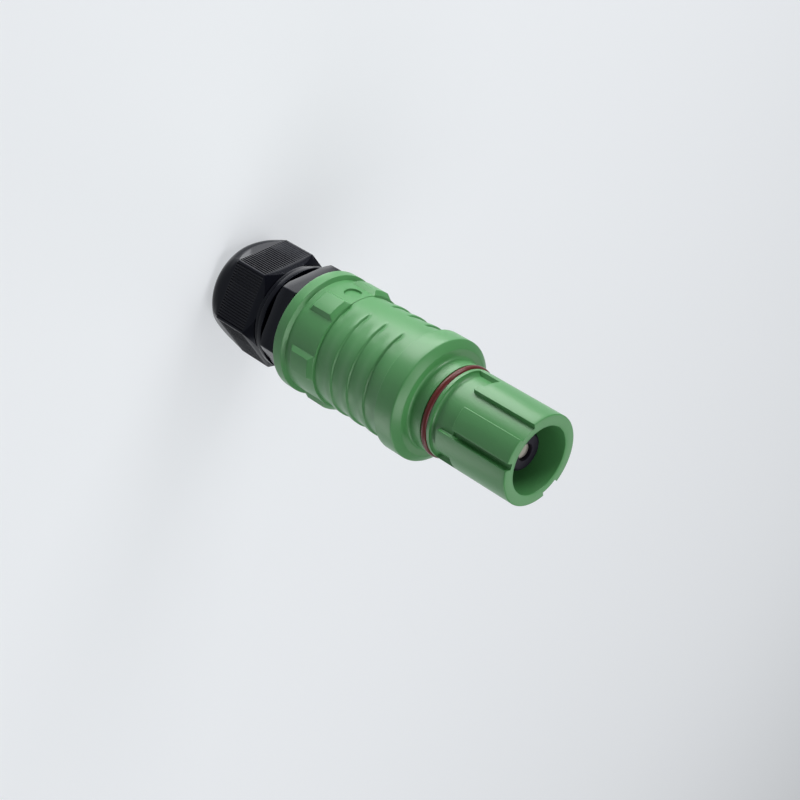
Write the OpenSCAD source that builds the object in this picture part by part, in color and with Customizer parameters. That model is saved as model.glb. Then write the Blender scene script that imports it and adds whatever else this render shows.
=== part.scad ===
// Single pole power connector for one heavy cable, standing on the gland's end, nose up.
// Stations are millimetres along the axis, from the nose's front face towards the gland.
// Clock angles are degrees round the axis, seen from the nose, from the crown of the grip.

/* [Nose] */
// Radius over the lands of the nose
nose_r = 22.35; // [21.5:0.05:22.4]
// Radius of the keyway floors and of the neck
neck_r = 20; // [19.5:0.1:20.5]
// Radius of the front bore
bore_r = 16.75; // [15.5:0.05:17]
// Depth of the front bore
bore_depth = 44; // [40:1:46]
// Station of the lands' rear edges
land_back = 33.8; // [32:0.1:36]
// Station of the rear edge of the detent nib
nib_back = 36.4; // [35:0.1:39]
// Station of the rear edge of the long rib
rib_back = 42; // [40:0.5:43]
// Station of the collar's front wall
collar_front = 46; // [44.5:0.5:46]
// Station of the seal groove's front wall
seal_front = 47.7; // [47:0.1:48]
// Thickness of the red nose seal
seal_d = 3.5; // [3:0.1:3.6]
// Depth of the seal groove below the nose
seal_sink = 2.65; // [2.4:0.05:2.8]

/* [Grip] */
// Radius of the shoulder barrel behind the seal
shoulder_r = 22.6; // [22.4:0.05:23]
// Station of the front face of the grip
grip_front = 59; // [58:0.5:60]
// Radius of the front band
band_r = 30.8; // [30:0.1:31.2]
// Station of the front band's rear edge
band_back = 72.6; // [70:0.1:74]
// Radius at the high edge of each grip step
step_high_r = 28.9; // [28.5:0.1:29.2]
// Radius at the low end of each grip step
step_low_r = 28; // [27.5:0.1:28.3]
// Width of the smooth strip along the crown, in degrees
strip_width = 22; // [20:0.5:34]
// Radius of the rear barrel between the pads
barrel_r = 29.1; // [29:0.05:29.3]
// Radius over the pads
pad_r = 31.2; // [30.5:0.1:31.3]
// Half width of a pad's top, in degrees
pad_half = 9; // [7:0.5:11]
// Clock angle of the outer pads from the crown
pad_turn = 27.5; // [25:0.5:30]
// Radius of the rear flange
flange_r = 31.3; // [31:0.1:32]
// Station of the flange's rear face
flange_back = 142.8; // [141:0.1:144]
// Turn of the crown from the front, in degrees
crown_turn = 6.6; // [0:0.1:20]

/* [Contact] */
// Radius of the contact pin
pin_r = 9.5; // [9:0.1:10]
// Station of the pin's bare end
pin_front = 10; // [9:0.5:12]
// Radius of the bare end inside its guard
spigot_r = 4.1; // [3.5:0.1:4.5]
// Radius of the wire barrel
barrel_out_r = 13; // [12.5:0.5:14]
// Radius of the hole for the conductor
wire_r = 8.5; // [7:0.1:9]
// Station of the wire barrel's mouth
barrel_back = 106; // [100:1:110]
// Depth of the conductor hole
wire_depth = 42; // [36:1:44]

/* [Gland] */
// Width across flats of the gland and its nut
gland_flats = 53; // [50:0.5:54]
// Turn of a hexagon corner from the front, in degrees
gland_turn = -28.9; // [-30:0.1:30]
// Station of the rear face of the gland's hexagon
hex_back = 154.5; // [153:0.5:156]
// Station of the dome nut's front face
nut_front = 160.8; // [160.5:0.1:161.5]
// Station where the dome nut's corners are full
nut_full = 167.2; // [166:0.1:168]
// Station of the dome nut's rear end
nut_back = 202; // [200:0.5:204]
// Radius of the mouth in the dome nut
mouth_r = 15.8; // [15:0.1:16.5]
// Radius of the cable hole in the rubber insert
cable_r = 13.5; // [12:0.5:14]

/* [Hidden] */

$fn = 96;
fit_gap = 0.05;
cut = 0.5;

// lands of the nose: clock angles from the crown, and the station where each one ends;
// the gaps between them are the keyways, and the short ones leave room for the bayonet to turn
lands = [[18.8, 138.5, collar_front], [163, 201.5, land_back], [201.5, 223.5, collar_front],
         [223.5, 249.5, land_back], [249.5, 278, rib_back], [287, 317.5, land_back],
         [341, 352, nib_back], [352, 378.8, land_back]];
nose_edge = 1;
neck_fillet = 1.2;

// seal groove and shoulder
seal_back = seal_front + seal_d + 0.1;
seal_floor_r = nose_r - seal_sink;
seal_mid_r = seal_floor_r + seal_d / 2;
shoulder_fillet = 1.4;
face_r = 27.5;
face_rise = 0.6;
chamfer_r = 30;
chamfer_back = 61.2;
band_front = 62;

// grip steps and rear barrel
step_front = [82, 93.2, 104.3];
barrel_front = 116.5;
step_land = 2.2;
step_fall = 8;
foot_run = 1;
strip_half = strip_width / 2;
strip_r = step_high_r + 0.05;
strip_slope = 9;
flange_foot = 136;
flange_front = 137;
flange_edge = 0.5;
pad_front = 116.6;
pad_back = 132.4;
pad_bevel = pad_r - barrel_r;
foot_half = pad_half + 4;
recess_r = 4.25;
recess_depth = 0.7;
recess_s = 123.5;

// inside of the body
web_back = 52;
stem_r = 10.6;
cavity_r = 17.5;
cavity_back = 128;
gland_thread_r = 19.9;
relief_r = 20.6;

// contact
neck_front = bore_depth;
flange_s = 55;
contact_flange_r = 15.5;
pin_groove = [30, 38];
pin_groove_r = 8.7;
seal_slot = [46.8, 49];
seal_slot_r = 8.7;
guard_front = 8.3;
guard_back = 22;
barb_r = 4.7;
barb = [15, 17];
index_r = 1.5;
index_at = 12.8;
index_span = [48.5, 54.8];
screw_r = 5;
screw_s = [76, 92];
screw_len = 4.4;

// gland, washers and lock ring
washer_t = 1.2;
spring_t = 0.8;
spring_rise = 0.6;
ring_t = 6;
gasket_t = 1.2;
gasket_r = 25.5;
hex_front = flange_back + gasket_t;
stem_front = 131;
gland_bore_r = 15.6;
collar = [157, 160.2];
collar_r = 27;
gland_neck_r = 24;
nut_thread_r = 23.5;
body_back = 174;
pocket_front = 158;
pocket_r = 20.6;
skirt_r = 26;
skirt_back = 163;
dome_start = 182.2;
dome_r = 30.7;
dome_end_r = 16;
dome_power = 1.85;
rib_pitch = 1.39;
ribs = 20;
rib_gap = 0.6;
rib_depth = 0.3;
hex_r = gland_flats / sqrt(3);
facet_r = hex_r - 1.75;
cone_front = 178;
cone_back = 193;
cone_small_r = 17.4;

function turned(r, a) = [r * cos(a), r * sin(a)];
function between(p, q, t) = p + (q - p) * t;
function arc_points(cr, cs, r, a0, a1, n) =
    [for (i = [0:n]) [cr, cs] + turned(r, a0 + (a1 - a0) * i / n)];

// stands a piece on end, from stations counted off the nose, turned from the front
module placed(turn = 0) {
    translate([0, 0, nut_back])
        rotate([180, 0, -90])
            rotate([0, 0, turn])
                children();
}

// a plain tube or disc between two stations
module tube(r, s0, s1) {
    translate([0, 0, s0])
        cylinder(r = r, h = s1 - s0);
}

// a slice of pie, wide enough to pass the whole section, between two clock angles
module sector(a0, a1, s0, s1, reach = 60) {
    count = ceil((a1 - a0) / 30);
    translate([0, 0, s0])
        linear_extrude(height = s1 - s0)
            polygon(concat([[0, 0]], [for (i = [0:count]) turned(reach, a0 + (a1 - a0) * i / count)]));
}

// one land of the nose, with its rounded front edge
module land(a0, a1, back) {
    intersection() {
        rotate_extrude()
            polygon(concat([[neck_r - 1, 0]],
                           arc_points(nose_r - nose_edge, nose_edge, nose_edge, -90, 0, 4),
                           [[nose_r, back], [neck_r - 1, back]]));
        sector(a0, a1, -1, back + 1);
    }
}

// outline of one grip step: a short land, a soft fall and a run to the next step
function step_points(s0, s1) = [
    [step_high_r - 0.05, s0], [step_high_r, s0 + step_land / 2], [step_high_r - 0.05, s0 + step_land],
    [step_low_r + 0.25, s0 + step_fall * 0.75], [step_low_r, s0 + step_fall], [step_low_r, s1]];

module body_outline() {
    seal_groove = [[nose_r, seal_front], [seal_floor_r, seal_front],
                   [seal_floor_r, seal_back], [shoulder_r, seal_back]];
    steps = [for (i = [0:len(step_front) - 1])
        for (p = step_points(step_front[i], i < len(step_front) - 1 ? step_front[i + 1] : barrel_front)) p];
    polygon(concat(
        [[0, 0], [neck_r, 0]],
        arc_points(neck_r + neck_fillet, collar_front - neck_fillet, neck_fillet, 180, 90, 4),
        [[nose_r, collar_front]],
        seal_groove,
        arc_points(shoulder_r + shoulder_fillet, grip_front - shoulder_fillet, shoulder_fillet, 180, 90, 4),
        [[face_r, grip_front + face_rise], [chamfer_r, chamfer_back], [band_r - 0.15, band_front - 0.3],
         [band_r, band_front + 0.3], [band_r, band_back - 0.4], [band_r - 0.4, band_back],
         [step_low_r + 0.2, band_back + foot_run], [step_low_r, band_back + 2 * foot_run],
         [step_low_r, step_front[0]]],
        steps,
        [[barrel_r, barrel_front], [barrel_r, flange_foot], [flange_r - flange_edge, flange_front - 0.1],
         [flange_r, flange_front + flange_edge], [flange_r, flange_back - flange_edge],
         [flange_r - flange_edge, flange_back], [0, flange_back]]));
}

// a long block whose flat sides slope from a wide foot to a narrow top
module sloped(at, foot_r, foot_half, top_r, top_half, s0, s1) {
    foot = [turned(foot_r, at - foot_half), turned(foot_r, at + foot_half)];
    top = [turned(top_r, at - top_half), turned(top_r, at + top_half)];
    translate([0, 0, s0])
        linear_extrude(height = s1 - s0)
            polygon([between(foot[0], top[0], -0.8), between(foot[0], top[0], 1.8),
                     between(foot[1], top[1], 1.8), between(foot[1], top[1], -0.8)]);
}

// one raised pad with sloping ends and sides
module pad(at) {
    intersection() {
        rotate_extrude()
            polygon([[barrel_r - 1, pad_front - 1], [pad_r, pad_front + pad_bevel],
                     [pad_r, pad_back - pad_bevel], [barrel_r - 1, pad_back + 1]]);
        sloped(at, barrel_r, foot_half, pad_r, pad_half, pad_front - 2, pad_back + 2);
    }
}

// the smooth strip that runs over the grip steps and slopes down into them
module strip(at) {
    intersection() {
        rotate_extrude()
            polygon([[step_low_r - 1, band_back - 1], [strip_r, band_back - 1],
                     [strip_r, barrel_front + 1], [step_low_r - 1, barrel_front + 1]]);
        sloped(at, step_low_r - 0.1, strip_half + strip_slope, strip_r, strip_half,
               band_back - 2, barrel_front + 2);
    }
}

// the green moulding: keyed nose, shoulder, stepped grip, padded barrel and flange
module main_body() {
    color([0.36, 0.63, 0.36])
        placed(crown_turn)
            difference() {
                union() {
                    rotate_extrude()
                        body_outline();
                    for (l = lands)
                        land(l[0], l[1], l[2]);
                    for (at = [0, 180])
                        strip(at);
                    for (at = [-pad_turn, pad_turn, 90, 180 - pad_turn, 180 + pad_turn, 270])
                        pad(at);
                }
                tube(bore_r, -cut, bore_depth);
                tube(stem_r, bore_depth - cut, web_back + cut);
                tube(cavity_r, web_back, cavity_back + cut);
                tube(gland_thread_r, cavity_back, flange_back + cut);
                tube(relief_r, cavity_back - 3, cavity_back);
                translate([0, 0, recess_s])
                    rotate([0, 90, 0])
                        translate([0, 0, barrel_r - recess_depth])
                            cylinder(r = recess_r, h = 4);
                rotate([0, 0, 180])
                    translate([index_at, 0, index_span[0]])
                        cylinder(r = index_r, h = 10);
            }
}

// the dark red ring that seals the nose in its mating half
module nose_seal() {
    color([0.42, 0.11, 0.11])
        placed()
            rotate_extrude()
                translate([seal_mid_r, (seal_front + seal_back) / 2])
                    circle(r = seal_d / 2, $fn = 32);
}

// the plated contact, turned from one bar: pin, stem, flange and wire barrel
module contact_pin() {
    color([0.78, 0.76, 0.7])
        placed(crown_turn)
            difference() {
                rotate_extrude()
                    polygon([[0, pin_front], [spigot_r - 0.5, pin_front], [spigot_r, pin_front + 0.5],
                             [spigot_r, barb[0]], [barb_r, barb[0] + 0.6], [barb_r, barb[1] - 0.3],
                             [spigot_r, barb[1]], [spigot_r, guard_back], [pin_r, guard_back],
                             [pin_r, pin_groove[0]], [pin_groove_r, pin_groove[0]],
                             [pin_groove_r, pin_groove[1]], [pin_r, pin_groove[1]],
                             [pin_r, neck_front + 1], [stem_r - fit_gap, neck_front + 2],
                             [stem_r - fit_gap, seal_slot[0]], [seal_slot_r, seal_slot[0]],
                             [seal_slot_r, seal_slot[1]], [stem_r - fit_gap, seal_slot[1]],
                             [stem_r - fit_gap, web_back], [contact_flange_r, web_back],
                             [contact_flange_r, flange_s], [barrel_out_r, flange_s],
                             [barrel_out_r, barrel_back - 1], [barrel_out_r - 1, barrel_back],
                             [0, barrel_back]]);
                tube(wire_r, barrel_back - wire_depth, barrel_back + cut);
                for (s = screw_s)
                    translate([0, 0, s])
                        rotate([0, 90, 0])
                            cylinder(r = screw_r, h = barrel_out_r + 1);
                rotate([0, 0, 180])
                    translate([index_at, 0, index_span[0]])
                        cylinder(r = index_r, h = 10);
            }
}

// the black cap that keeps fingers off the live pin
module finger_guard() {
    color([0.09, 0.09, 0.1])
        placed()
            rotate_extrude()
                polygon(concat(
                    [[spigot_r, guard_front + 0.4], [spigot_r + 0.4, guard_front]],
                    arc_points(pin_r - 1.6, guard_front + 1.6, 1.6, -90, 0, 5),
                    [[pin_r, guard_back], [spigot_r, guard_back], [spigot_r, barb[1]],
                     [barb_r, barb[1] - 0.3], [barb_r, barb[0] + 0.6], [spigot_r, barb[0]]]));
}

// the spring contact band in its groove round the pin
module contact_band() {
    louvres = 24;
    color([0.85, 0.78, 0.55])
        placed()
            difference() {
                union() {
                    tube(pin_groove_r + 0.4, pin_groove[0], pin_groove[1]);
                    for (i = [0:louvres - 1])
                        rotate([0, 0, i * 360 / louvres])
                            translate([pin_groove_r + 0.35, 0, pin_groove[0] + 0.8])
                                cylinder(r = 0.8, h = pin_groove[1] - pin_groove[0] - 1.6, $fn = 24);
                }
                tube(pin_groove_r, pin_groove[0] - cut, pin_groove[1] + cut);
            }
}

// the small ring that seals the contact's stem in the web
module pin_seal() {
    section_r = (stem_r - seal_slot_r) / 2;
    color([0.12, 0.12, 0.12])
        placed()
            rotate_extrude()
                translate([seal_slot_r + section_r, (seal_slot[0] + seal_slot[1]) / 2])
                    circle(r = section_r, $fn = 32);
}

// the steel pin that stops the contact turning
module index_pin() {
    color([0.6, 0.6, 0.62])
        placed(crown_turn + 180)
            translate([index_at, 0, index_span[0]])
                cylinder(r = index_r, h = index_span[1] - index_span[0]);
}

module thrust_washer() {
    color([0.7, 0.7, 0.7])
        placed()
            difference() {
                tube(cavity_r - 0.2, flange_s, flange_s + washer_t);
                tube(barrel_out_r + 0.2, flange_s - cut, flange_s + washer_t + cut);
            }
}

// a coned spring washer between the flat washer and the lock ring
module disc_spring() {
    spring_s = flange_s + washer_t;
    inner = barrel_out_r + 0.3;
    outer = cavity_r - 0.4;
    color([0.5, 0.5, 0.52])
        placed()
            rotate_extrude()
                polygon([[inner, spring_s + spring_rise], [outer, spring_s],
                         [outer, spring_s + spring_t], [inner, spring_s + spring_rise + spring_t]]);
}

// the slotted threaded ring that holds the contact in the body
module contact_lock_ring() {
    ring_s = flange_s + washer_t + spring_rise + spring_t;
    color([0.75, 0.62, 0.3])
        placed()
            difference() {
                tube(cavity_r, ring_s, ring_s + ring_t);
                tube(barrel_out_r + 0.4, ring_s - cut, ring_s + ring_t + cut);
                for (turn = [0, 90])
                    rotate([0, 0, turn])
                        translate([-cavity_r - 1, -2, ring_s + ring_t - 2.5])
                            cube([2 * cavity_r + 2, 4, 3]);
            }
}

// two socket set screws that grip the conductor
module wire_clamp_screws() {
    color([0.35, 0.35, 0.37])
        placed(crown_turn)
            for (s = screw_s)
                translate([0, 0, s])
                    rotate([0, 90, 0])
                        translate([0, 0, barrel_out_r - screw_len + 0.2])
                            difference() {
                                cylinder(r = screw_r, h = screw_len);
                                translate([0, 0, screw_len - 2.5])
                                    cylinder(r = 2.9, h = 3, $fn = 6);
                            }
}

module gland_gasket() {
    color([0.1, 0.1, 0.1])
        placed()
            difference() {
                tube(gasket_r, flange_back, hex_front);
                tube(gland_thread_r, flange_back - cut, hex_front + cut);
            }
}

// the fixed half of the gland: thread, hexagon, collar and nut thread
module gland_body() {
    color([0.08, 0.08, 0.09])
        placed(gland_turn)
            difference() {
                union() {
                    tube(gland_thread_r, stem_front, hex_front);
                    intersection() {
                        translate([0, 0, hex_front])
                            cylinder(r = hex_r, h = hex_back - hex_front, $fn = 6);
                        rotate_extrude()
                            polygon([[0, hex_front], [hex_r + 0.2, hex_front], [hex_r + 0.2, hex_back - 1.6],
                                     [hex_r - 2.2, hex_back], [0, hex_back]]);
                    }
                    rotate_extrude()
                        polygon(concat([[0, hex_back], [gland_neck_r, hex_back], [gland_neck_r, collar[0]]],
                                       arc_points(collar_r - 0.8, collar[0] + 0.8, 0.8, -90, 0, 3),
                                       arc_points(collar_r - 0.8, collar[1] - 0.8, 0.8, 0, 90, 3),
                                       [[nut_thread_r, collar[1]], [nut_thread_r, body_back], [0, body_back]]));
                }
                tube(gland_bore_r, stem_front - cut, pocket_front);
                tube(pocket_r, pocket_front - 0.01, body_back + cut);
            }
}

// the rubber sleeve that the nut squeezes onto the cable
module gland_seal_insert() {
    cage_r = 17;
    color([0.16, 0.16, 0.17])
        placed()
            rotate_extrude()
                polygon([[cable_r, pocket_front], [cage_r, pocket_front], [cage_r, 187], [cage_r - 1, 188.5],
                         [cable_r + 1.5, 188.5], [cable_r, 187], [cable_r, 184.5], [cable_r + 0.8, 184],
                         [cable_r + 0.8, 181.5], [cable_r, 181], [cable_r, 176], [cable_r + 0.8, 175.5],
                         [cable_r + 0.8, 173], [cable_r, 172.5]]);
}

// the cage of clamping fingers round the rubber sleeve
module gland_clamp_cage() {
    inner = 17;
    fingers = 12;
    root = 164;
    color([0.2, 0.2, 0.21])
        placed()
            difference() {
                rotate_extrude()
                    polygon([[inner, pocket_front], [pocket_r, pocket_front], [pocket_r, body_back],
                             [pocket_r - 0.3, 184], [inner + 1.4, 188.5], [inner, 188.5]]);
                for (i = [0:fingers / 2 - 1])
                    rotate([0, 0, i * 360 / fingers])
                        translate([-30, -0.75, root])
                            cube([60, 1.5, 40]);
            }
}

// outline of the dome, a rounded curve from the full corners to the flat end ring
function dome_points(n) =
    [for (i = [0:n])
        let (t = 82 * i / n)
        [dome_end_r + (dome_r - dome_end_r) * pow(cos(t), 2 / dome_power),
         dome_start + (nut_back + 0.2 - dome_start) * pow(sin(t), 2 / dome_power)]];

// a point on a flat of the hexagon, along it from its middle and up from its face
function on_flat(flat, along, up) =
    [for (m = [turned(1, flat * 60 + 30)]) m * (gland_flats / 2 + up) + [-m[1], m[0]] * along][0];

// the hexagon with fine grooves down its flats
function ribbed_hexagon() =
    [for (flat = [0:5])
        for (p = concat(
            [turned(hex_r, flat * 60)],
            [for (i = [0:ribs])
                for (q = [[-rib_gap / 2, 0], [-rib_gap / 2 + 0.1, -rib_depth],
                          [rib_gap / 2 - 0.1, -rib_depth], [rib_gap / 2, 0]])
                    on_flat(flat, (i - ribs / 2) * rib_pitch + q[0], q[1])]))
            p];

// the hexagonal dome nut that closes the gland
module dome_nut() {
    color([0.07, 0.07, 0.08])
        placed(gland_turn)
            difference() {
                union() {
                    intersection() {
                        union() {
                            translate([0, 0, nut_front])
                                cylinder(r1 = facet_r, r2 = hex_r, h = nut_full - nut_front, $fn = 6);
                            translate([0, 0, nut_full])
                                linear_extrude(height = nut_back - nut_full + 1)
                                    polygon(ribbed_hexagon());
                        }
                        rotate_extrude()
                            polygon(concat([[0, skirt_back], [skirt_r + 0.2, skirt_back],
                                            [hex_r + 0.1, nut_full], [dome_r, nut_full + 0.6]],
                                           dome_points(12), [[17.4, nut_back], [0, nut_back]]));
                    }
                    rotate_extrude()
                        polygon(concat([[0, nut_front]],
                                       arc_points(skirt_r - 0.6, nut_front + 0.6, 0.6, -90, 0, 3),
                                       [[skirt_r, skirt_back + 0.2], [0, skirt_back + 0.2]]));
                }
                tube(nut_thread_r, nut_front - cut, cone_front);
                rotate_extrude()
                    polygon([[0, cone_front - cut], [nut_thread_r - 0.5, cone_front - cut],
                             [nut_thread_r - 0.5, cone_front], [cone_small_r, cone_back], [0, cone_back]]);
                tube(mouth_r, cone_back - cut, nut_back + cut);
                rotate_extrude()
                    polygon([[0, nut_back - 1.2], [mouth_r, nut_back - 1.2], [mouth_r + 0.6, nut_back + 0.01],
                             [mouth_r + 0.6, nut_back + 1], [0, nut_back + 1]]);
            }
}

main_body();
nose_seal();
contact_pin();
finger_guard();
contact_band();
pin_seal();
index_pin();
thrust_washer();
disc_spring();
contact_lock_ring();
wire_clamp_screws();
gland_gasket();
gland_body();
gland_seal_insert();
gland_clamp_cage();
dome_nut();
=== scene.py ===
import math

import bpy
import numpy as np
from mathutils import Matrix, Vector


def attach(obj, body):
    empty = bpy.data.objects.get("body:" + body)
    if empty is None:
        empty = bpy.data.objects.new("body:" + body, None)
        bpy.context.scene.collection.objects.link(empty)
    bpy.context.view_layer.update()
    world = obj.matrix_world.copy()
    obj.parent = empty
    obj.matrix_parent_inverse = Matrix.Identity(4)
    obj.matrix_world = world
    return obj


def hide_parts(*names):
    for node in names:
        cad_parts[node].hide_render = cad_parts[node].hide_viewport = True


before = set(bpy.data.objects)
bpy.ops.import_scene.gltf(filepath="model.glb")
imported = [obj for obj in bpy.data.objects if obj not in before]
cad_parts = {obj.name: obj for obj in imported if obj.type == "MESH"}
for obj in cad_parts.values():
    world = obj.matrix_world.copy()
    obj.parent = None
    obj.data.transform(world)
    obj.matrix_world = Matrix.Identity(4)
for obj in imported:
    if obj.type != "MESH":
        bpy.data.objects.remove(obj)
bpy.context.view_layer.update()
print("frame loaded")

# Stations s are millimetres from the nose's front face, as in the part's source, and z = length - s.
# Clock angles are degrees round the axis from the crown of the grip.
length = 202.0
crownTurn = 6.6     # how far the green body is turned from the front
glandTurn = -28.9   # how far the gland and its nut are turned


def columnAngles(marks, step, leastGap=0.03):
    # a column at each mark that isn't too near the one before, then even columns in the wide gaps
    lines = sorted({round(mark % 360, 4) for mark in marks})
    kept = [lines[0]]
    for line in lines[1:]:
        if line - kept[-1] > leastGap:
            kept.append(line)
    angles = []
    for here, after in zip(kept, kept[1:] + [kept[0] + 360]):
        count = max(1, math.ceil((after - here) / step))
        angles += [here + (after - here) * i / count for i in range(count)]
    return np.array(angles)


def evenly(middle, step, reach):
    # marks at even steps on both sides of a middle
    return [middle + step * k for k in range(-reach, reach + 1)]


def bothSides(middle, offsets):
    # marks at the same offsets on both sides of a middle
    return [middle + side * off for side in (-1, 1) for off in offsets]


def degreeLength(radius):
    # millimetres along the surface for one degree round the axis
    return math.radians(1) * radius


def arc(centreR, centreS, radius, a0, a1, count):
    # r = centreR + radius cos a, s = centreS + radius sin a, where a runs evenly from a0 to a1
    turns = [math.radians(a0 + (a1 - a0) * i / count) for i in range(count + 1)]
    return [[centreR + radius * math.cos(turn), centreS + radius * math.sin(turn)] for turn in turns]


def smooth(t):
    # 3 t^2 - 2 t^3, a soft step from 0 to 1
    t = np.clip(t, 0.0, 1.0)
    return t * t * (3.0 - 2.0 * t)


def ringMesh(name, r, s, angle, turn, material, sharpAngle=34.0):
    # x = -r sin a, y = -r cos a, z = length - s, in metres; row i of the grid runs round the axis, and the
    # rows close on themselves through the bore
    phi = np.radians(angle + turn)
    rowCount, colCount = r.shape
    points = np.empty((rowCount, colCount, 3))
    points[..., 0] = -r * np.sin(phi) / 1000.0
    points[..., 1] = -r * np.cos(phi) / 1000.0
    points[..., 2] = (length - s) / 1000.0
    row = np.arange(rowCount)[:, None] * colCount
    column = np.arange(colCount)[None, :]
    nextRow = np.roll(row, -1, 0)
    nextColumn = np.roll(column, -1, 1)
    corners = [row + column, row + nextColumn, nextRow + nextColumn, nextRow + column]
    quads = np.stack(corners, -1).reshape(-1, 4)
    flat = points.reshape(-1, 3)
    a, b, c, d = (flat[quads[:, corner]] for corner in range(4))
    volume = (a * (np.cross(b, c) + np.cross(c, d))).sum()
    if volume < 0:   # the faces point inwards
        quads = quads[:, ::-1]
    mesh = bpy.data.meshes.new(name)
    mesh.vertices.add(len(flat))
    mesh.vertices.foreach_set("co", flat.ravel())
    mesh.loops.add(quads.size)
    mesh.loops.foreach_set("vertex_index", quads.ravel().astype(np.int32))
    mesh.polygons.add(len(quads))
    mesh.polygons.foreach_set("loop_start", np.arange(0, quads.size, 4, dtype=np.int32))
    mesh.update(calc_edges=True)
    mesh.validate()
    mesh.polygons.foreach_set("use_smooth", np.ones(len(mesh.polygons), dtype=bool))
    mesh.set_sharp_from_angle(angle=math.radians(sharpAngle))
    mesh.materials.append(material)
    obj = bpy.data.objects.new(name, mesh)
    bpy.context.scene.collection.objects.link(obj)
    print(name, "made with", len(mesh.polygons), "faces")
    return obj


# Materials

commonLook = {
    "metal": 0.0, "specular": 0.5, "sheenColor": (1, 1, 1),
    "drift": 0.04, "roughDrift": 0.04, "driftScale": 40.0, "driftDetail": 3.0,
    "grainScale": 1800.0, "grainDetail": 2.0, "grainDepth": 0.0001,
}
looks = {
    "green": {"color": (0.077, 0.270, 0.089), "rough": 0.34, "grain": 0.12, "drift": 0.05, "specular": 0.40},
    "sealRed": {"color": (0.105, 0.011, 0.010), "rough": 0.32, "grain": 0.05, "specular": 0.32},
    "silver": {"color": (0.46, 0.44, 0.385), "rough": 0.50, "metal": 1.0, "grain": 0.04},
    "guardBlack": {"color": (0.007, 0.005, 0.011), "rough": 0.40, "grain": 0.06, "specular": 0.14,
                   "sheenColor": (0.82, 0.74, 1.0)},
    "springMetal": {"color": (0.78, 0.64, 0.36), "rough": 0.22, "metal": 1.0, "grain": 0.03},
    "rubber": {"color": (0.014, 0.014, 0.015), "rough": 0.62, "grain": 0.15},
    "steel": {"color": (0.52, 0.52, 0.53), "rough": 0.30, "metal": 1.0, "grain": 0.05},
    "ringBrass": {"color": (0.66, 0.47, 0.20), "rough": 0.28, "metal": 1.0, "grain": 0.05},
    "glandBlack": {"color": (0.0016, 0.0018, 0.0046), "rough": 0.20, "grain": 0.05, "specular": 0.13,
                   "sheenColor": (0.80, 0.86, 1.0)},
    "cageGrey": {"color": (0.035, 0.035, 0.038), "rough": 0.45, "grain": 0.08},
}


def noise(tree, place, scale, detail):
    # a noise pattern on the piece's own coordinates
    pattern = tree.nodes.new("ShaderNodeTexNoise")
    pattern.inputs["Scale"].default_value = scale
    pattern.inputs["Detail"].default_value = detail
    tree.links.new(place.outputs["Object"], pattern.inputs["Vector"])
    return pattern


def makeFinish(name, look):
    # a principled surface whose colour and roughness drift a little, with fine grain in its bump
    look = {**commonLook, **look}
    mat = bpy.data.materials.new(name)
    mat.use_nodes = True
    tree = mat.node_tree
    surface = tree.nodes["Principled BSDF"]
    surface.inputs["Metallic"].default_value = look["metal"]
    surface.inputs["Specular IOR Level"].default_value = look["specular"]
    surface.inputs["Specular Tint"].default_value = (*look["sheenColor"], 1)
    place = tree.nodes.new("ShaderNodeTexCoord")
    drift = noise(tree, place, look["driftScale"], look["driftDetail"])
    mix = tree.nodes.new("ShaderNodeMix")
    mix.data_type = "RGBA"
    mix.inputs["A"].default_value = [c * (1 - look["drift"]) for c in look["color"]] + [1]
    mix.inputs["B"].default_value = [c * (1 + look["drift"]) for c in look["color"]] + [1]
    tree.links.new(drift.outputs["Fac"], mix.inputs["Factor"])
    tree.links.new(mix.outputs["Result"], surface.inputs["Base Color"])
    gloss = tree.nodes.new("ShaderNodeMapRange")
    gloss.inputs["To Min"].default_value = look["rough"] - look["roughDrift"]
    gloss.inputs["To Max"].default_value = look["rough"] + look["roughDrift"]
    tree.links.new(drift.outputs["Fac"], gloss.inputs["Value"])
    tree.links.new(gloss.outputs["Result"], surface.inputs["Roughness"])
    grain = noise(tree, place, look["grainScale"], look["grainDetail"])
    bump = tree.nodes.new("ShaderNodeBump")
    bump.inputs["Strength"].default_value = look["grain"]
    bump.inputs["Distance"].default_value = look["grainDepth"]
    tree.links.new(grain.outputs["Fac"], bump.inputs["Height"])
    tree.links.new(bump.outputs["Normal"], surface.inputs["Normal"])
    return mat


finishes = {name: makeFinish(name, look) for name, look in looks.items()}
print("materials made")


# The green body

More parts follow.
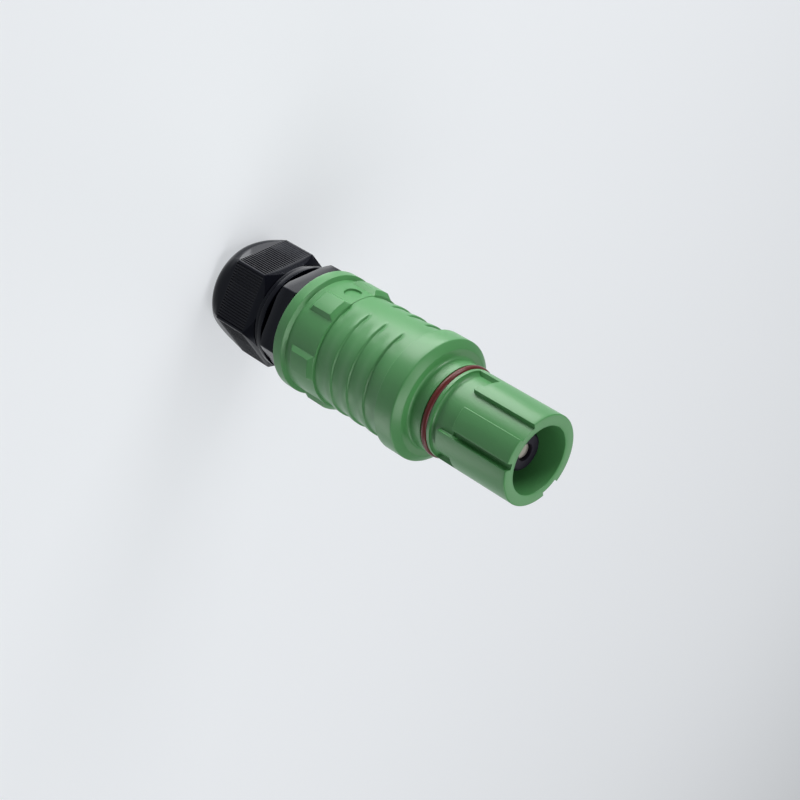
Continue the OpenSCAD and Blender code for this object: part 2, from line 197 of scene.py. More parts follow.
body = {
    # nose: lands on a core, with the bore inside
    "noseR": 22.35, "floorR": 20.0, "boreR": 16.75, "mouthEdge": 0.45, "noseEdge": 0.6, "noseStep": 1.6,
    # wall between land and core: rounded top, steep run, rounded foot, and the corner where two walls meet;
    # lengths across it are taken on the radius measureR, and leastShare keeps rows off the core
    "wallTop": 0.25, "wallRun": 0.06, "wallFoot": 0.18, "cornerR": 0.7, "measureR": 21.2, "leastShare": 0.02,
    "wallRows": (-0.42, -0.3, -0.2, -0.12, -0.05, 0.0, 0.03, 0.06, 0.12, 0.22, 0.42),
    "wallColumns": (-0.42, -0.3, -0.16, -0.06, 0.0, 0.06, 0.16, 0.42),
    # rear edges of the lands, and the collar behind them with its fillet
    "landBack": 33.8, "nibBack": 36.4, "ribBack": 42.0, "pastCollar": 99.0,
    "collarFront": 46.0, "neckFillet": 2.0, "filletRows": (0.05, 0.35, 0.65, 0.95, 1.25),
    # the narrow keyway is cut a little deeper: its middle, half width, rear end and extra depth
    "slotMiddle": 282.5, "slotHalf": 4.5, "slotBack": 33.7, "slotDeeper": 0.8,
    "slotColumn": 0.5, "slotReach": 7,   # step of its columns, and how many lie on each side
    # the seal's groove and the shoulder
    "grooveFront": 47.7, "grooveBack": 51.3, "grooveR": 19.7, "grooveEdge": 0.15,
    "shoulderR": 22.6, "shoulderRows": (53.5, 55.5), "shoulderFillet": 1.4, "gripFront": 59.0,
    # the grip's front face and chamfer as radius and station, then the smooth front band
    "face": ((25.0, 59.04), (26.7, 59.06), (26.95, 59.1), (27.15, 59.2), (28.9, 60.42), (30.4, 61.47),
             (30.62, 61.66), (30.75, 61.87), (30.8, 62.15)),
    "bandR": 30.8, "bandRows": (65.0, 68.0, 71.0, 72.1), "bandBack": 72.6, "bandEdge": 0.25,
    # the soft run behind the band, as rise over the low radius and distance from the band
    "bandFoot": ((1.3, 0.02), (1.0, 0.15), (0.86, 0.4), (0.78, 0.8), (0.6, 2.0), (0.4, 3.3), (0.2, 4.7),
                 (0.06, 6.0), (0, 7.2), (0, 7.9), (0, 8.4), (0, 8.75)),
    # grip steps: the crest as rise and distance from the step's front, the fall, and rows before the next
    "stepStarts": (82.0, 93.2, 104.3, 116.5), "stepLowR": 28.0, "stepRise": 0.9,
    "crest": ((0, -0.35), (0.03, -0.22), (0.12, -0.1), (0.66, 0.22), (0.8, 0.34), (0.88, 0.5), (0.9, 1.2),
              (0.89, 2.0)),
    "fallStart": 2.0, "fallRun": 6.4, "fallPower": 1.15, "runOut": (2.2, 1.5, 1.0, 0.65),
    # the two smooth strips over the steps: half width, steep side, soft side and the corner at a step's foot
    "stripTurns": (0, 180), "stripHalf": 11.0, "stripSlope": 9.0, "stripFade": 24.0, "stripR": 28.95,
    "stripColumns": (35, 32, 29, 26, 23, 20, 18.5, 17, 15.5, 14, 12.5, 11),
    "footBack": 0.35, "footReach": 0.9,
    # the barrel and its pads, whose rows lie at shares of the sloping ends
    "barrelR": 29.1, "padR": 31.2, "padFront": 116.6, "padBack": 132.4, "padHalf": 9.0, "padFoot": 13.0,
    "padTurns": (-27.5, 27.5, 90.0, 152.5, 207.5, 270.0),
    "frontRamp": (0.05, 0.14, 0.3, 0.5, 0.7, 0.86, 0.96, 1.06, 1.2),
    "backRamp": (1.2, 1.06, 0.96, 0.86, 0.7, 0.5, 0.3, 0.14, 0.04, -0.1),
    "padColumns": (13.5, 13.0, 12.3, 11.65, 11.0, 10.35, 9.7, 9.0, 8.6),
    # the shallow round recess: points this near to its rim or to the foot of its wall are moved onto them
    "recessS": 123.5, "recessR": 4.25, "recessDepth": 1.0, "recessWall": 0.1,
    "rimOutside": 0.2, "rimInside": 0.12, "footInside": 0.45,
    "recessRow": 0.32, "recessRowCount": 27, "recessColumn": 0.64, "recessReach": 14,
    # rows behind the pads, and the flange with its slope as radius and station
    "barrelRow": 129.0, "rearRows": (133.4, 134.6, 135.6, 135.95), "flangeRows": (139.0, 141.0),
    "flangeSlope": ((29.12, 136.05), (29.3, 136.14), (30.0, 136.5), (30.7, 136.86), (30.95, 137.0)),
    "flangeR": 31.3, "flangeFront": 137.0, "flangeBack": 142.8, "flangeEdge": 0.4, "rearEdge": 0.3,
    # inside: the gland's thread, a relief, the wire cavity, and the web with the hole for the contact
    "threadR": 19.9, "reliefR": 20.6, "reliefFront": 125.0, "reliefBack": 128.0, "cavityR": 17.5,
    "webFront": 44.0, "webBack": 52.0, "stemR": 10.6, "webEdge": 0.4,
    "cavityRow": 90.0, "boreRows": (30.0, 15.0),
    "columnStep": 2.6,   # widest gap between columns, in degrees
}
# each land: clock angles where it starts and ends, and which station its rear edge has
lands = [
    (341, 498.5, "landBack"), (163, 278, "landBack"), (287, 317.5, "landBack"), (341, 352, "nibBack"),
    (18.8, 138.5, "pastCollar"), (201.5, 223.5, "pastCollar"), (249.5, 278, "ribBack"),
]


def landDistance(s, angle):
    # distance to the nearest land, each a box with round corners, or to the collar: length of the part of
    # (across, along) that lies outside the box, less the corner's radius; it is negative on a land
    b = body
    best = b["collarFront"] - s
    for start, end, back in lands:
        fromMiddle = np.abs((angle - (start + end) / 2 + 180) % 360 - 180)
        across = (fromMiddle - (end - start) / 2) * degreeLength(b["measureR"]) + b["cornerR"]
        along = s - b[back] + b["cornerR"]
        outside = np.hypot(np.maximum(across, 0), np.maximum(along, 0))
        inside = np.minimum(np.maximum(across, along), 0)
        best = np.minimum(best, outside + inside - b["cornerR"])
    return best


def wallHeight(d):
    # height above the keyway's floor at the distance d: a quarter round at the top edge, a steep straight
    # wall and a quarter round at the foot
    full = body["noseR"] - body["floorR"]
    top, run, foot = body["wallTop"], body["wallRun"], body["wallFoot"]
    rounded = full - (top - np.sqrt(np.clip(top ** 2 - (d + top) ** 2, 0, None)))
    steep = full - top + (foot - full + top) * d / run
    past = np.clip(foot - (d - run), 0, foot)
    floor = foot - np.sqrt(foot ** 2 - past ** 2)
    return np.where(d < -top, full, np.where(d < 0, rounded, np.where(d < run, steep, floor)))


def noseRows():
    # the front face, its round edge, and the lands with close rows at every wall and in the neck's fillet
    b = body
    edge = b["noseEdge"]
    rows = [[b["boreR"] + b["mouthEdge"], 0.0], [b["floorR"] - 0.1, 0.0], [b["floorR"] + 0.02, 0.0]]
    rows += arc(b["noseR"] - edge, edge, edge, -90, 0, 7)
    stations = [b[back] + off for back in ("landBack", "nibBack", "ribBack") for off in b["wallRows"]]
    stations += [b["collarFront"] - off for off in b["wallRows"]]
    stations += [b["collarFront"] - b["neckFillet"] + into for into in b["filletRows"]]
    last = edge
    for station in sorted(stations):
        count = max(1, math.ceil((station - last) / b["noseStep"]))
        rows += [[b["noseR"], last + (station - last) * (k + 1) / count] for k in range(count)]
        last = station
    return rows


def shoulderRows():
    # the seal's groove with its round edges, the plain shoulder and its fillet
    b = body
    front, back, floor = b["grooveFront"], b["grooveBack"], b["grooveR"]
    edge, fillet, corner = b["grooveEdge"], b["shoulderFillet"], 0.02
    rows = arc(b["noseR"] - edge, front - edge, edge, 0, 90, 3)
    rows += [[floor + corner, front], [floor, front + corner], [floor, back - corner], [floor + corner, back]]
    rows += arc(b["shoulderR"] - edge, back + edge, edge, -90, 0, 3)
    rows += [[b["shoulderR"], station] for station in b["shoulderRows"]]
    return rows + arc(b["shoulderR"] + fillet, b["gripFront"] - fillet, fillet, 180, 90, 7)


def bandRows():
    # the grip's front face, the smooth band and the soft run behind it
    b = body
    back, edge = b["bandBack"], b["bandEdge"]
    rows = [list(point) for point in b["face"]] + [[b["bandR"], station] for station in b["bandRows"]]
    rows += arc(b["bandR"] - edge, back - edge, edge, 0, 90, 3)
    return rows + [[b["stepLowR"] + rise, back + run] for rise, run in b["bandFoot"]]


def stepRows(front, back):
    # one grip step: its crest, the fall r = low + rise (1/2 + 1/2 cos pi t)^power, and a run to the next one
    b = body
    low = b["stepLowR"]
    rows = [[low + rise, front + run] for rise, run in b["crest"]]
    for t in (0.2, 0.4, 0.6, 0.8, 1.0):
        rise = b["stepRise"] * (0.5 + 0.5 * math.cos(math.pi * t)) ** b["fallPower"]
        rows.append([low + rise, front + b["fallStart"] + b["fallRun"] * t])
    return rows + [[low, back - run] for run in b["runOut"]]


def barrelRows():
    # the corner at the barrel's front, rows through pads and recess, and the flange
    b = body
    front, low, r = b["stepStarts"][-1], b["stepLowR"], b["barrelR"]
    rows = [[low, front - 0.2], [low + 0.06, front - 0.05], [low + 0.3, front]]
    rows += [[r - 0.2, front + 0.03], [r - 0.05, front + 0.1]]
    rise = b["padR"] - r
    firstRow = b["recessS"] - b["recessR"] - 0.05
    stations = [b["padFront"] + rise * share for share in b["frontRamp"]]
    stations += [firstRow + b["recessRow"] * (k + 1) for k in range(b["recessRowCount"])]
    stations += [b["barrelRow"]] + [b["padBack"] - rise * share for share in b["backRamp"]]
    stations += list(b["rearRows"])
    rows += [[r, station] for station in stations] + [list(point) for point in b["flangeSlope"]]
    edge, rear = b["flangeEdge"], b["rearEdge"]
    rows += arc(b["flangeR"] - edge, b["flangeFront"] + edge, edge, -50, 0, 4)
    rows += [[b["flangeR"], station] for station in b["flangeRows"]]
    return rows + arc(b["flangeR"] - rear, b["flangeBack"] - rear, rear, 0, 90, 4)


def boreRows():
    # inside, from the rear to the mouth
    b = body
    cavity, bore, web = b["cavityR"], b["boreR"], b["webEdge"]
    rows = [[b["threadR"], b["flangeBack"]], [b["threadR"], b["reliefBack"] + 0.05]]
    rows += [[b["reliefR"], b["reliefBack"]], [b["reliefR"], b["reliefFront"]]]
    rows += [[cavity + 0.05, b["reliefFront"] - 0.02], [cavity, b["reliefFront"] - 0.1]]
    rows += [[cavity, b["cavityRow"]], [cavity, b["webBack"]], [b["stemR"], b["webBack"]]]
    rows += [[b["stemR"], b["webFront"]], [bore - 0.35, b["webFront"]], [bore, b["webFront"] - web]]
    rows += [[bore, station] for station in b["boreRows"]]
    return rows + [[bore, b["mouthEdge"]], [bore + 0.13, 0.13]]


def bodyColumns():
    # columns at the sides of lands, pads, strips and recess
    b = body
    starts = {start for start, end, back in lands}
    ends = {end % 360 for start, end, back in lands}
    offsets = [off / degreeLength(b["measureR"]) for off in b["wallColumns"]]
    marks = [start - off for start in starts for off in offsets]
    marks += [end + off for end in ends for off in offsets]
    for turn in b["padTurns"]:
        marks += bothSides(turn, b["padColumns"])
    for turn in b["stripTurns"]:
        marks += bothSides(turn, b["stripColumns"])
    marks += evenly(0, b["recessColumn"], b["recessReach"])
    marks += evenly(b["slotMiddle"], b["slotColumn"], b["slotReach"])
    return columnAngles(marks, b["columnStep"])


def cutKeyways(r, s, a, outer):
    # between the lands r = floor + (r - floor) x the wall's share of its full height, where the floor rises
    # to the collar in a quarter round
    b = body
    fillet = b["neckFillet"]
    intoFillet = np.clip(s - b["collarFront"] + fillet, 0, fillet)
    floorR = b["floorR"] + fillet - np.sqrt(fillet ** 2 - intoFillet ** 2)
    inSlot = (np.abs(a - b["slotMiddle"]) < b["slotHalf"]) & (s < b["slotBack"])
    floorR = floorR - np.where(inSlot, b["slotDeeper"], 0)
    share = wallHeight(landDistance(s, a)) / (b["noseR"] - b["floorR"])
    onNose = outer & (s <= b["collarFront"] + 0.01) & (r > floorR)
    return np.where(onNose, floorR + (r - floorR) * np.maximum(share, b["leastShare"]), r)


def layStrips(r, s, a, outer):
    # r + (strip - r) x blend, where the blend falls softly over a wide side, or steeply where a gaussian
    # marks the corner at the foot of a step
    b = body
    near = np.abs((a + 90) % 180 - 90)   # degrees from the middle of the nearer strip
    soft = smooth((b["stripHalf"] + b["stripFade"] - near) / b["stripFade"])
    steep = smooth((b["stripHalf"] + b["stripSlope"] - near) / b["stripSlope"])
    toFoot = np.min([np.abs(s - start + b["footBack"]) for start in b["stepStarts"]], axis=0)
    blend = soft + (steep - soft) * np.exp(-(toFoot / b["footReach"]) ** 2)
    onGrip = outer & (s > b["bandBack"]) & (s < b["stepStarts"][-1] - 0.05) & (r < b["stripR"])
    return np.where(onGrip, r + (b["stripR"] - r) * blend, r)


def raisePads(r, s, a, outer):
    # each pad rises by the least of its side's slope and its ends' slope, held between 0 and 1
    b = body
    height = b["padR"] - b["barrelR"]
    ends = np.minimum(s - b["padFront"], b["padBack"] - s) / height
    rise = np.zeros_like(r)
    for turn in b["padTurns"]:
        off = np.abs((a - turn + 180) % 360 - 180)
        side = (b["padFoot"] - off) / (b["padFoot"] - b["padHalf"])
        rise = np.maximum(rise, np.clip(np.minimum(side, ends), 0, 1))
    return np.where(outer, r + height * rise, r)


def sinkRecess(r, s, a, outer):
    # points near the rim move along their own radius onto it, or onto the foot of its wall, so that the rim
    # is round, and those inside are sunk
    b = body
    rim, foot = b["recessR"], b["recessR"] - b["recessWall"]
    perDegree = degreeLength(b["barrelR"])
    u = perDegree * ((a + 180) % 360 - 180)
    v = s - b["recessS"]
    far = np.hypot(u, v)
    tiny = 1e-6
    spot = outer & (far < rim + b["rimOutside"])
    moved = np.where(far >= rim - b["rimInside"], rim, np.where(far > rim - b["footInside"], foot, far))
    scale = np.where(far > tiny, moved / np.maximum(far, tiny), 1.0)
    a = np.where(spot, a + (u * scale - u) / perDegree, a)
    s = np.where(spot, b["recessS"] + v * scale, s)
    r = np.where(spot & (moved < (rim + foot) / 2), r - b["recessDepth"], r)
    return r, s, a


def makeBody():
    # the outline turned round the axis, r(s), then changed column by column
    angles = bodyColumns()
    outline = noseRows() + shoulderRows() + bandRows()
    for front, back in zip(body["stepStarts"], body["stepStarts"][1:]):
        outline += stepRows(front, back)
    outline += barrelRows()
    path = np.array(outline + boreRows())
    r = np.repeat(path[:, :1], len(angles), 1)
    s = np.repeat(path[:, 1:], len(angles), 1)
    a = np.repeat(angles[None, :], len(path), 0)
    outer = np.arange(len(path))[:, None] < len(outline)
    r = cutKeyways(r, s, a, outer)
    r = layStrips(r, s, a, outer)
    r = raisePads(r, s, a, outer)
    r, s, a = sinkRecess(r, s, a, outer)
    obj = ringMesh("mainBody", r, s, a, crownTurn, finishes["green"])
    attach(obj, "root")
    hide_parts("main_body")


makeBody()


# The black gland and its dome nut

gland = {
    # the hexagon, held back by a cone at each end: how far its corners are cut, and the cone's slope
    "flats": 53.0, "corner": 0.9, "wrenchFront": 144.0, "wrenchBack": 154.5, "faceR": 25.6,
    "frontCut": 0.9, "frontSlope": 0.5, "backCut": 2.2, "backSlope": 0.67, "flatRows": (3, 6),
    "cornerColumns": (-2, -1.3, -0.65, 0, 0.65, 1.3, 2), "columnStep": 2.0,
    # the neck and collar behind it, and the nut's thread
    "neckR": 24.0, "ringR": 27.0, "ringFront": 157.0, "ringBack": 160.2, "ringEdge": 0.4, "ringRear": 0.5,
    "threadR": 23.5, "threadRow": 168.0, "threadEnd": 174.0, "threadEdge": 0.4,
    # inside, and the thread in the green body
    "sleeveR": 20.6, "sleeveFront": 158.0, "boreR": 15.6, "boreRow": 145.0,
    "stemR": 19.9, "stemFront": 131.0, "stemEdge": 0.5, "stemRow": 138.0,
}
nut = {
    # the plain rim, then six facets that a cone holds back
    "front": 160.8, "rimR": 26.0, "rimBack": 163.0, "rimEdge": 0.4, "rimRear": 0.3, "full": 167.2,
    "facetSmall": 0.962, "coneSmall": 26.2, "coneLarge": 30.6,
    "leastMeet": 0.02, "mostMeet": 0.97, "lastShare": 0.985,
    # ribs on the flats
    "ribPitch": 1.39, "ribCount": 20, "ribGap": 0.72, "ribDepth": 0.42, "ribCrown": 0.16, "ribEdge": 0.1,
    "ribEnd": 186.8, "ribShares": (0.2, 0.5, 0.8), "cornerColumns": (-1.5, -0.75, 0, 0.75, 1.5),
    "columnStep": 1.5,
    # the dome, and the soft edge between it and a flat
    "domeStart": 182.2, "domeEnd": 202.2, "domeR": 30.7, "domeEndR": 16.0, "domePower": 1.85,
    "domeRows": 24, "domeBend": 84.0, "endInset": 0.15, "endBlend": 2.4, "blendRun": 4.0,
    # inside: the mouth, the cone that squeezes the sleeve, and the thread
    "end": 202.0, "endRingR": 17.5, "mouthR": 15.8, "mouthEdge": 0.3, "mouthDepth": 1.2, "mouthRow": 197.0,
    "seatBack": 193.0, "seatSmallR": 17.4, "seatFront": 178.0, "seatLargeR": 23.0,
    "threadR": 23.5, "threadFront": 170.0,
}


def hexRadius(angle):
    # flats: half width / cos(angle from the flat's middle); corners: a circle of the corner radius
    half = gland["flats"] / 2
    e = gland["corner"]
    fold = np.radians((angle + 30) % 60 - 30)   # 0 at a corner
    flat = half / np.cos(np.radians(30) - np.abs(fold))
    centre = (half - e) / math.cos(math.radians(30))
    turned = centre * np.cos(fold) + np.sqrt(np.clip(e ** 2 - (centre * np.sin(fold)) ** 2, 0, None))
    tangent = math.atan((half - e) * math.tan(math.radians(30)) / half)
    return np.where(math.radians(30) - np.abs(fold) > tangent, turned, flat)


def stacked(path, count):
    # path rows hold a radius and a station, each one number or one value for each column
    r = np.stack([np.broadcast_to(row[0], count) for row in path])
    s = np.stack([np.broadcast_to(row[1], count) for row in path])
    return r, s


def makeGlandBody():
    # the hexagon's radius is held back by a cone at each end, so the chamfers curve over the flats
    g = gland
    angles = columnAngles([60 * k + off for k in range(6) for off in g["cornerColumns"]], g["columnStep"])
    hexR = hexRadius(angles)
    full = g["flats"] / math.sqrt(3)
    front, back = g["wrenchFront"], g["wrenchBack"]
    frontR, backR = full - g["frontCut"], full - g["backCut"]
    cutFront = front + np.maximum(0, (hexR - frontR) * g["frontSlope"])
    cutBack = back - np.maximum(0, (hexR - backR) * g["backSlope"])
    path = [(g["stemR"], front), (g["faceR"], front), (np.minimum(hexR, frontR), front)]
    path += [(hexR, cutFront + 0.02)] + [(hexR, front + row) for row in g["flatRows"]]
    path += [(hexR, cutBack - 0.1), (hexR - 0.04, cutBack)]
    path += [(np.minimum(hexR - 0.1, backR), back - 0.04), (np.minimum(hexR - 0.2, backR - 0.15), back)]
    ring, neck, edge, rear = g["ringR"], g["neckR"], g["ringEdge"], g["ringRear"]
    path += [(neck + 0.2, back), (neck, back + 0.1), (neck, g["ringFront"] - 0.1)]
    path += [(neck + 0.15, g["ringFront"])] + arc(ring - edge, g["ringFront"] + edge, edge, -90, 0, 4)
    path += arc(ring - rear, g["ringBack"] - rear, rear, 0, 90, 4)
    thread, end, edge = g["threadR"], g["threadEnd"], g["threadEdge"]
    path += [(thread, g["ringBack"]), (thread, g["threadRow"]), (thread, end - edge), (thread - edge, end)]
    path += [(g["sleeveR"], end), (g["sleeveR"], g["sleeveFront"]), (g["boreR"], g["sleeveFront"])]
    stem, front, corner = g["stemR"], g["stemFront"], g["stemEdge"]
    path += [(g["boreR"], g["boreRow"]), (g["boreR"], front + edge), (g["boreR"] + edge, front)]
    path += [(stem - corner, front), (stem, front + corner), (stem, g["stemRow"])]
    r, s = stacked(path, len(angles))
    obj = ringMesh("glandBody", r, s, np.broadcast_to(angles, r.shape), glandTurn, finishes["glandBlack"])
    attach(obj, "root")
    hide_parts("gland_body")


def domeRadius(s):
    # R(s) = end + (full - end) (1 - x^p)^(1/p), where x runs from 0 to 1 over the dome
    n = nut
    x = np.clip((s - n["domeStart"]) / (n["domeEnd"] - n["domeStart"]), 0, 1)
    return n["domeEndR"] + (n["domeR"] - n["domeEndR"]) * (1 - x ** n["domePower"]) ** (1 / n["domePower"])


def softLeast(a, b, width):
    # the smaller of two radii, rounded over the width where they cross
    near = np.maximum(width - np.abs(a - b), 0) / width
    return np.minimum(a, b) - near ** 2 * width / 4


def ribColumns():
    # clock angles of the columns: the edges and tops of every rib on the six flats, and the corners
    n = nut
    gap, pitch = n["ribGap"] / 2, n["ribPitch"]
    edges = [-gap, n["ribEdge"] - gap, gap - n["ribEdge"], gap]
    edges = np.array(edges + [gap + (pitch - 2 * gap) * share for share in n["ribShares"]])
    middles = (np.arange(n["ribCount"] + 1) - n["ribCount"] / 2) * pitch
    onFlat = np.degrees(np.arctan((middles[:, None] + edges).ravel() / (gland["flats"] / 2)))
    flats = (np.arange(6)[:, None] * 60 + 30 + onFlat).ravel()
    corners = (np.arange(6)[:, None] * 60 + np.array(n["cornerColumns"])).ravel()
    return columnAngles(np.concatenate([flats, corners]), n["columnStep"])


def ribbedRadius(angles, flatR):
    # hexagon less the rib grooves and the ribs' crown, crown x t^2, where t is 1 at the edge of a rib; and
    # the plain radius that the flat has behind the ribs
    n = nut
    pitch, gap = n["ribPitch"], n["ribGap"] / 2
    along = gland["flats"] / 2 * np.tan(np.radians((angles % 60) - 30))
    fromGap = np.abs((along + pitch / 2) % pitch - pitch / 2)   # millimetres from the nearest gap
    inBand = np.abs(along) <= (n["ribCount"] / 2) * pitch + gap
    fromTop = np.clip((pitch / 2 - fromGap) / (pitch / 2 - gap), 0, 1)
    groove = np.clip((gap - fromGap) / n["ribEdge"], 0, 1) * n["ribDepth"]
    ribR = flatR - np.where(inBand, n["ribCrown"] * fromTop ** 2 + groove, 0)
    return ribR, flatR - np.where(inBand, n["endInset"], 0)


def nutFacets(flatR):
    # R(u) = min(facet, cone) for shares u of the way to the full hexagon, with a row where the two meet
    n = nut
    small, coneRise = n["facetSmall"], n["coneLarge"] - n["coneSmall"]
    meet = (small * flatR - n["coneSmall"]) / (coneRise - (1 - small) * flatR)
    meet = np.clip(meet, n["leastMeet"], n["mostMeet"])
    shares = [0 * meet, meet * 0.5, meet, meet * 0.5 + 0.5, 0 * meet + n["lastShare"]]
    facets = [np.minimum(flatR * (small + (1 - small) * u), n["coneSmall"] + coneRise * u) for u in shares]
    return shares, facets


def makeDomeNut():
    # plain rim, facets, ribbed flats, then the softened least of flat and dome, and the inside
    n = nut
    angles = ribColumns()
    flatR = hexRadius(angles)
    ribR, plainR = ribbedRadius(angles, flatR)
    shares, facets = nutFacets(flatR)
    rim, front, back, full = n["rimR"], n["front"], n["rimBack"], n["full"]
    edge, rear = n["rimEdge"], n["rimRear"]
    path = [(n["threadR"], front), (rim - 0.5, front)] + arc(rim - edge, front + edge, edge, -90, 0, 4)
    path += [(rim, back - edge)] + arc(rim - rear, back - rear, rear, 0, 90, 3)
    path += [(np.minimum(facets[0], rim - 0.35), back + 0.01)]
    path += [(facet, back + 0.02 + (full - back - 0.04) * u) for facet, u in zip(facets, shares)]
    path += [(flatR - 0.02, full - 0.04), ((flatR + ribR) / 2 - 0.01, full)]
    ribStart, ribEnd = full + 0.1, n["ribEnd"]
    path += [(ribR, ribStart + (ribEnd - ribStart) * t) for t in (0.0, 0.25, 0.5, 0.75, 1.0)]
    first, last = ribEnd + 0.12, n["end"] - 0.01
    turns = np.radians(n["domeBend"] * np.arange(n["domeRows"] + 1) / n["domeRows"])
    for s in first + (last - first) * np.sin(turns) / math.sin(math.radians(n["domeBend"])):
        width = n["endBlend"] * min((s - ribEnd) / n["blendRun"], 1)
        path += [(softLeast(plainR, domeRadius(s), width), s)]
    mouth, end, edge = n["mouthR"], n["end"], n["mouthEdge"]
    path += [(n["endRingR"], end), (mouth + 0.8, end), (mouth + edge, end - 0.4)]
    path += [(mouth, end - n["mouthDepth"]), (mouth, n["mouthRow"]), (mouth, n["seatBack"] + 0.02)]
    path += [(n["seatSmallR"], n["seatBack"]), (n["seatLargeR"], n["seatFront"] + 0.02)]
    path += [(n["threadR"], n["seatFront"]), (n["threadR"], n["threadFront"])]
    r, s = stacked(path, len(angles))
    obj = ringMesh("domeNut", r, s, np.broadcast_to(angles, r.shape), glandTurn, finishes["glandBlack"])
    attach(obj, "root")
    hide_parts("dome_nut")


makeGlandBody()
makeDomeNut()


# Small round pieces: the red seal and the finger guard

seal = {"middleR": 21.45, "station": 49.5, "thickness": 3.5, "facets": 32}
guard = {
    "r": 9.5, "holeR": 4.1, "front": 8.3, "back": 22.0, "edge": 1.6, "flatR": 6.0,
    # the groove inside that catches on the pin
    "catchFront": 15.0, "catchBack": 17.0, "catchR": 4.7,
}


def revolved(name, path, material, node, count=192):
    # the outline r(s) turned round the axis
    angles = np.arange(count) * 360.0 / count
    path = np.array(path)
    r = np.repeat(path[:, :1], count, 1)
    s = np.repeat(path[:, 1:], count, 1)
    obj = ringMesh(name, r, s, np.repeat(angles[None, :], len(path), 0), 0.0, material)
    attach(obj, "root")
    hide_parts(node)


def sealOutline():
    # a full circle, open by one facet because the rows close on themselves
    count = seal["facets"]
    return arc(seal["middleR"], seal["station"], seal["thickness"] / 2, 0, 360 - 360 / count, count - 1)


def guardOutline():
    # hole's edge, front face, quarter round, side, rear face, and the catch inside
    hole, r, edge = guard["holeR"], guard["r"], guard["edge"]
    front, back, catch = guard["front"], guard["back"], guard["catchR"]
    start, end = guard["catchFront"], guard["catchBack"]
    rows = [[hole, front + 0.7], [hole + 0.04, front + 0.2], [hole + 0.2, front + 0.02], [hole + 0.4, front]]
    rows += [[guard["flatR"], front]] + arc(r - edge, front + edge, edge, -90, 0, 10)
    rows += [[r, start], [r, back], [hole, back], [hole, end]]
    return rows + [[catch, end - 0.3], [catch, start + 0.6], [hole, start]]


revolved("noseSeal", sealOutline(), finishes["sealRed"], "nose_seal")
revolved("fingerGuard", guardOutline(), finishes["guardBlack"], "finger_guard")


# CAD pieces that stay take a better surface

keptLooks = {
    "contact_pin": "silver", "contact_band": "springMetal", "pin_seal": "rubber", "index_pin": "steel",
    "thrust_washer": "steel", "disc_spring": "steel", "contact_lock_ring": "ringBrass",
    "wire_clamp_screws": "steel", "gland_gasket": "rubber", "gland_seal_insert": "rubber",
    "gland_clamp_cage": "cageGrey",
}
for name, look in keptLooks.items():
    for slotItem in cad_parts[name].material_slots:
        slotItem.material = finishes[look]
print("surfaces given to the inner pieces")


# Floor, light and camera

studio = {
    "floorSpan": 4.0, "floorColor": (0.42, 0.43, 0.445), "floorRough": 0.9, "floorSpecular": 0.1,
    "floorGlow": 0.52, "backdropGlow": 0.37, "fadeStart": 0.7, "fadeEnd": 2.2,
    "airColor": (0.935, 0.967, 1.0), "air": 0.04,
    # each raised lamp: direction round the connector, height angle, width and radiance
    "lamps": [("sideFront", 240, 12, 0.5, 8.6), ("topFront", 250, 77, 0.5, 4.3),
              ("topBack", 24, 66, 0.5, 5.4), ("sideBack", 60, 12, 0.5, 2.8),
              ("faceLight", 137, 36, 0.5, 1.2)],
    "lampDistance": 1.1, "lampAim": 0.12,
    # each flat lamp just over the floor, seen as sheen on the upright sides: middle x and y, width, depth
    # and radiance
    "sheens": [("crownSheen", -0.105, -0.23, 0.27, 0.17, 6.8), ("gripSheen", -0.01, -0.195, 0.10, 0.14, 3.4),
               ("nutSheen", -0.0225, -0.051, 0.075, 0.042, 2.4),
               ("domeSheen", 0.002, -0.034, 0.009, 0.006, 3.5),
               ("underSheen", 0.21, 0.15, 0.20, 0.13, 1.8)],
    "sheenHeight": 0.003,
}
# the camera: lens and sensor in millimetres, its place in metres, and where its right side and axis point
view = {
    "lens": 72.0, "sensor": 36.0, "nearest": 0.01, "place": (0.4221, -0.4243, 0.5589),
    "right": (-0.7253, 0.0, 0.6884), "forward": (-0.5604, 0.5807, -0.5906),
}


def seenDirectly(tree):
    # 1 for camera, mirror and glass rays, 0 for the rays that carry light to the object
    path = tree.nodes.new("ShaderNodeLightPath")
    seen = path.outputs["Is Camera Ray"]
    for kind in ("Is Glossy Ray", "Is Transmission Ray"):
        both = tree.nodes.new("ShaderNodeMath")
        both.operation = "MAXIMUM"
        tree.links.new(seen, both.inputs[0])
        tree.links.new(path.outputs[kind], both.inputs[1])
        seen = both.outputs[0]
    return seen


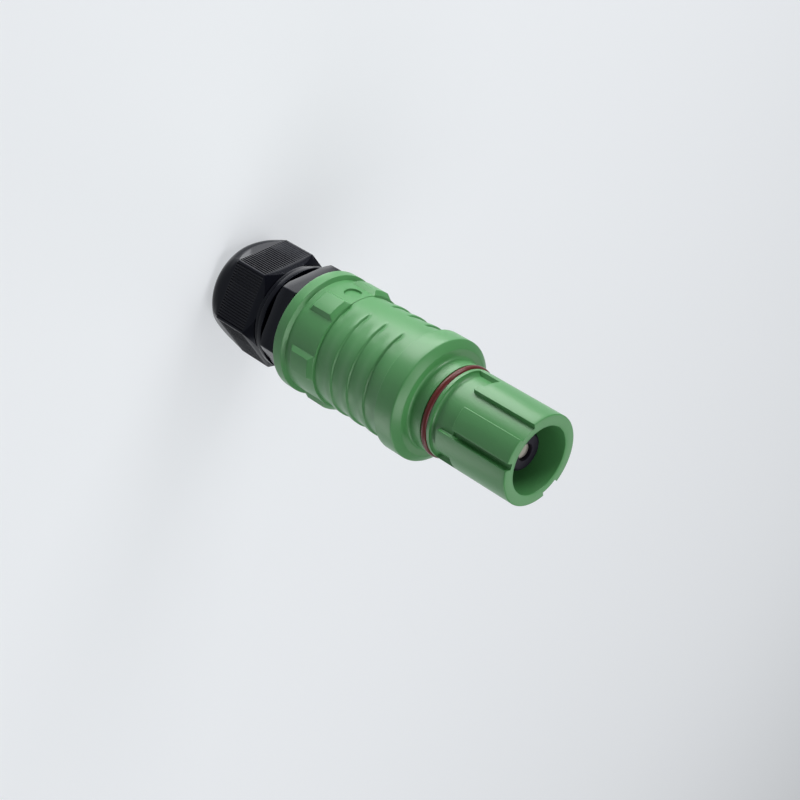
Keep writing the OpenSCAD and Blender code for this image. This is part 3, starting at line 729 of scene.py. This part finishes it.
def floorPaint():
    # pale paint near the object that fades to the backdrop's grey far away, so no edge shows
    mat = bpy.data.materials.new("floorPaint")
    mat.use_nodes = True
    tree = mat.node_tree
    surface = tree.nodes["Principled BSDF"]
    surface.inputs["Roughness"].default_value = studio["floorRough"]
    surface.inputs["Specular IOR Level"].default_value = studio["floorSpecular"]
    surface.inputs["Emission Color"].default_value = (*studio["airColor"], 1)
    place = tree.nodes.new("ShaderNodeTexCoord")
    away = tree.nodes.new("ShaderNodeVectorMath")
    away.operation = "LENGTH"
    tree.links.new(place.outputs["Object"], away.inputs[0])
    fade = tree.nodes.new("ShaderNodeMapRange")
    fade.interpolation_type = "SMOOTHSTEP"
    fade.inputs["From Min"].default_value = studio["fadeStart"]
    fade.inputs["From Max"].default_value = studio["fadeEnd"]
    tree.links.new(away.outputs["Value"], fade.inputs["Value"])
    paint = tree.nodes.new("ShaderNodeMix")
    paint.data_type = "RGBA"
    paint.inputs["A"].default_value = (*studio["floorColor"], 1)
    paint.inputs["B"].default_value = (0, 0, 0, 1)
    tree.links.new(fade.outputs["Result"], paint.inputs["Factor"])
    tree.links.new(paint.outputs["Result"], surface.inputs["Base Color"])
    shine = tree.nodes.new("ShaderNodeMix")
    shine.inputs["A"].default_value = studio["floorGlow"]
    shine.inputs["B"].default_value = studio["air"] + studio["backdropGlow"]
    tree.links.new(fade.outputs["Result"], shine.inputs["Factor"])
    glow = tree.nodes.new("ShaderNodeMath")
    glow.operation = "MULTIPLY"
    tree.links.new(seenDirectly(tree), glow.inputs[0])
    tree.links.new(shine.outputs["Result"], glow.inputs[1])
    tree.links.new(glow.outputs[0], surface.inputs["Emission Strength"])
    return mat


def makeFloor():
    # one square under the connector
    span = studio["floorSpan"]
    corners = [(-span, -span, 0), (span, -span, 0), (span, span, 0), (-span, span, 0)]
    floorMesh = bpy.data.meshes.new("floor")
    floorMesh.from_pydata(corners, [], [(0, 1, 2, 3)])
    floorMesh.materials.append(floorPaint())
    floor = bpy.data.objects.new("floor", floorMesh)
    bpy.context.scene.collection.objects.link(floor)


def makeAir():
    # faint even light, with a brighter backdrop for camera, mirror and glass rays
    world = bpy.data.worlds.new("studioAir")
    world.use_nodes = True
    tree = world.node_tree
    tree.nodes["Background"].inputs["Color"].default_value = (*studio["airColor"], 1)
    backdrop = tree.nodes.new("ShaderNodeMath")
    backdrop.operation = "MULTIPLY_ADD"
    backdrop.inputs[1].default_value = studio["backdropGlow"]
    backdrop.inputs[2].default_value = studio["air"]
    tree.links.new(seenDirectly(tree), backdrop.inputs[0])
    tree.links.new(backdrop.outputs[0], tree.nodes["Background"].inputs["Strength"])
    bpy.context.scene.world = world


def hangLamp(name, place, away, width, depth, radiance):
    # a flat lamp that shines against the direction away; power = pi x area x radiance
    data = bpy.data.lights.new(name, "AREA")
    data.shape = "RECTANGLE"
    data.size = width
    data.size_y = depth
    data.energy = math.pi * width * depth * radiance
    lamp = bpy.data.objects.new(name, data)
    lamp.visible_camera = False
    lamp.location = place
    lamp.rotation_euler = away.to_track_quat("Z", "Y").to_euler()
    bpy.context.scene.collection.objects.link(lamp)


def hangLamps():
    # raised lamps on a sphere round the aim, and flat ones just over the floor that shine up
    aim = Vector((0.0, 0.0, studio["lampAim"]))
    for name, around, rise, width, radiance in studio["lamps"]:
        turn, lift = math.radians(around), math.radians(rise)
        out = Vector((math.cos(turn) * math.cos(lift), math.sin(turn) * math.cos(lift), math.sin(lift)))
        hangLamp(name, aim + out * studio["lampDistance"], out, width, width, radiance)
    for name, x, y, width, depth, radiance in studio["sheens"]:
        hangLamp(name, Vector((x, y, studio["sheenHeight"])), Vector((0, 0, -1)), width, depth, radiance)


def makeCamera():
    # right, up and back are the columns of the camera's turn
    data = bpy.data.cameras.new("photoCamera")
    data.lens = view["lens"]
    data.sensor_width = view["sensor"]
    data.clip_start = view["nearest"]
    camera = bpy.data.objects.new("photoCamera", data)
    forward = Vector(view["forward"]).normalized()
    right = Vector(view["right"])
    right = (right - forward * right.dot(forward)).normalized()
    turn = Matrix((right, right.cross(forward), -forward)).transposed().to_4x4()
    camera.matrix_world = Matrix.Translation(view["place"]) @ turn
    bpy.context.scene.collection.objects.link(camera)
    bpy.context.scene.camera = camera


makeFloor()
makeAir()
hangLamps()
makeCamera()
bpy.context.scene.view_settings.view_transform = "Standard"
print("studio and camera set")
